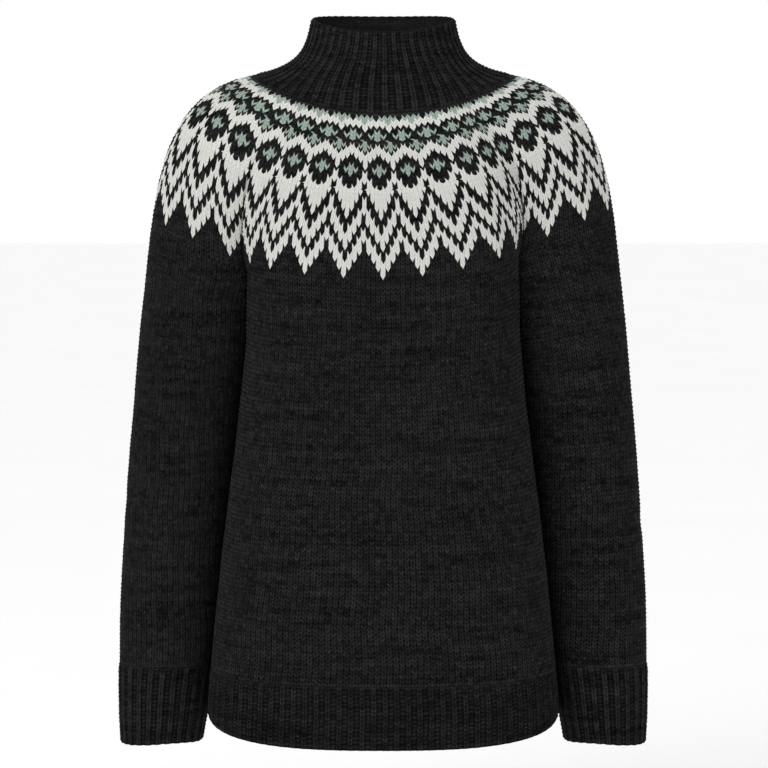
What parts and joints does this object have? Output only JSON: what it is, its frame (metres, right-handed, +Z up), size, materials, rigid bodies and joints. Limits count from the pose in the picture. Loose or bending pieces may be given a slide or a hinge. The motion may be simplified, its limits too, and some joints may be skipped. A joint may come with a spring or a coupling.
{
  "type": "high neck sweater",
  "caption": "Hollow heavy wool sweater knitted in the round, with a high ribbed collar, a patterned round yoke, and ribbed hem and cuffs, in the form of a wearer.",
  "frame": {"origin": "middle of the collar's base, where the shoulders carry the sweater", "axes": "+X to the wearer's left, -Y to the front, +Z up along the neck"},
  "size_m": [0.5352, 0.2216, 0.7317],
  "materials": {
    "charcoal_wool": "matte",
    "patterned_wool": "matte"
  },
  "bodies": {
    "root": {"collar": "charcoal_wool", "yoke": "patterned_wool", "body": "charcoal_wool", "hem_rib": "charcoal_wool", "sleeve_left": "charcoal_wool", "sleeve_right": "charcoal_wool", "cuff_left": "charcoal_wool", "cuff_right": "charcoal_wool"}
  },
  "joints": []
}
